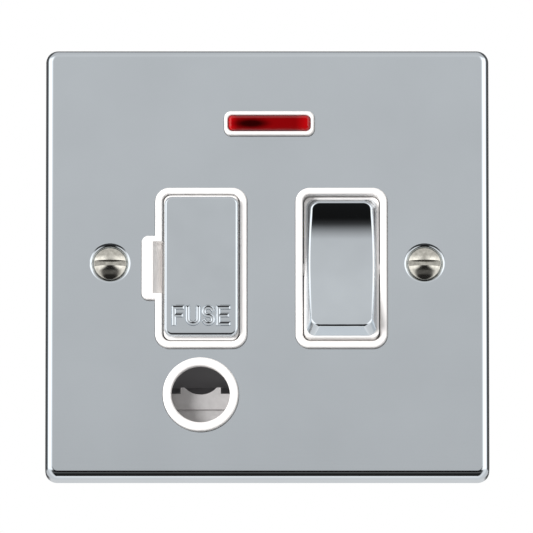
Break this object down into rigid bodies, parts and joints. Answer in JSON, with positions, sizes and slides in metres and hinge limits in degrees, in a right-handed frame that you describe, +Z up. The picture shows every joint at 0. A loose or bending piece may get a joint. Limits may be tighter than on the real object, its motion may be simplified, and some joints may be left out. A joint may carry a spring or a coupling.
{
  "type": "switched fused spur unit",
  "caption": "Square polished wall plate with a red neon, a pull-out fuse drawer, a rocker switch and a flex outlet with a cord grip, on a deep waisted rear housing.",
  "frame": {"origin": "centre of the face plate and of its two fixing screws, on the wall plane at the plate's back rim", "axes": "-Y towards the room, +Y into the wall, X to the right as seen from the room, Z up"},
  "size_m": [0.085, 0.0298, 0.085],
  "materials": {
    "polished_metal": "mirror polished plate on metal",
    "nickel": "bright nickel plate",
    "white_moulding": "moulded, satin gloss",
    "grey_moulding": "moulded nylon, fine matt",
    "dark_moulding": "moulded, fine matt",
    "red_lens": "clear red moulding",
    "lamp_glass": "clear glass",
    "resistor_coat": "dipped coating",
    "tinned_wire": "tinned copper",
    "brass": "machined",
    "strip_brass": "pressed strip",
    "silver_tip": "silver alloy",
    "zinc_steel": "zinc plated",
    "plunger_moulding": "moulded nylon",
    "spring_steel": "drawn wire",
    "ceramic": "fired ceramic",
    "fuse_cap_metal": "nickel plated cup"
  },
  "bodies": {
    "unit": {"face_plate": "polished_metal", "fixing_screws": "nickel", "front_moulding": "white_moulding", "rear_housing": "dark_moulding", "plate_bosses": "brass", "assembly_screws": "zinc_steel", "earth_strap": "zinc_steel", "supply_live_terminal": "brass", "supply_neutral_terminal": "brass", "load_live_terminal": "brass", "load_neutral_terminal": "brass", "earth_terminal": "brass", "terminal_screws": "zinc_steel", "neon_lens": "red_lens", "neon_lamp": "lamp_glass", "neon_resistor": "resistor_coat", "neon_leads": "tinned_wire", "upper_fuse_clip": "strip_brass", "lower_fuse_clip": "strip_brass", "live_fixed_contact": "strip_brass", "neutral_fixed_contact": "strip_brass", "live_fulcrum": "strip_brass", "neutral_fulcrum": "strip_brass"},
    "rocker": {"rocker_frame": "white_moulding", "rocker_cap": "polished_metal", "live_spring": "spring_steel", "neutral_spring": "spring_steel"},
    "live_plunger": {"live_plunger": "plunger_moulding"},
    "neutral_plunger": {"neutral_plunger": "plunger_moulding"},
    "live_blade": {"live_blade": "strip_brass", "live_tip": "silver_tip"},
    "neutral_blade": {"neutral_blade": "strip_brass", "neutral_tip": "silver_tip"},
    "fuse_carrier": {"fuse_drawer": "white_moulding", "drawer_cap": "polished_metal", "fuse_tube": "ceramic", "fuse_end_caps": "fuse_cap_metal"},
    "cord_grip": {"cord_saddle": "grey_moulding", "grip_screws": "zinc_steel"}
  },
  "joints": [
    {"name": "rocker_tilt", "type": "hinge", "parent": "unit", "child": "rocker", "pos_m": [0.01423, -0.003, -0.00105], "axis": [1, 0, 0], "range_deg": [0, 10]},
    {"name": "live_blade_tip", "type": "hinge", "parent": "unit", "child": "live_blade", "pos_m": [0.01073, 0.0086, -0.00105], "axis": [1, 0, 0], "range_deg": [-16, 0]},
    {"name": "neutral_blade_tip", "type": "hinge", "parent": "unit", "child": "neutral_blade", "pos_m": [0.01773, 0.0086, -0.00105], "axis": [1, 0, 0], "range_deg": [-16, 0]},
    {"name": "live_plunger_slide", "type": "slide", "parent": "rocker", "child": "live_plunger", "axis": [0, -0.9962, 0.0872], "range_m": [0, 0.0008], "stiffness_N_per_m": 300, "springref_m": -0.002, "deforming": ["live_spring"]},
    {"name": "neutral_plunger_slide", "type": "slide", "parent": "rocker", "child": "neutral_plunger", "axis": [0, -0.9962, 0.0872], "range_m": [0, 0.0008], "stiffness_N_per_m": 300, "springref_m": -0.002, "deforming": ["neutral_spring"]},
    {"name": "carrier_pull", "type": "slide", "parent": "unit", "child": "fuse_carrier", "axis": [0, -1, 0], "range_m": [0, 0.014]},
    {"name": "grip_lift", "type": "slide", "parent": "unit", "child": "cord_grip", "axis": [0, 0, 1], "range_m": [0, 0.0032]}
  ],
  "couplings": [
    {"joint": "live_blade_tip", "follows": "rocker_tilt", "ratio": -1.6},
    {"joint": "neutral_blade_tip", "follows": "rocker_tilt", "ratio": -1.6}
  ]
}
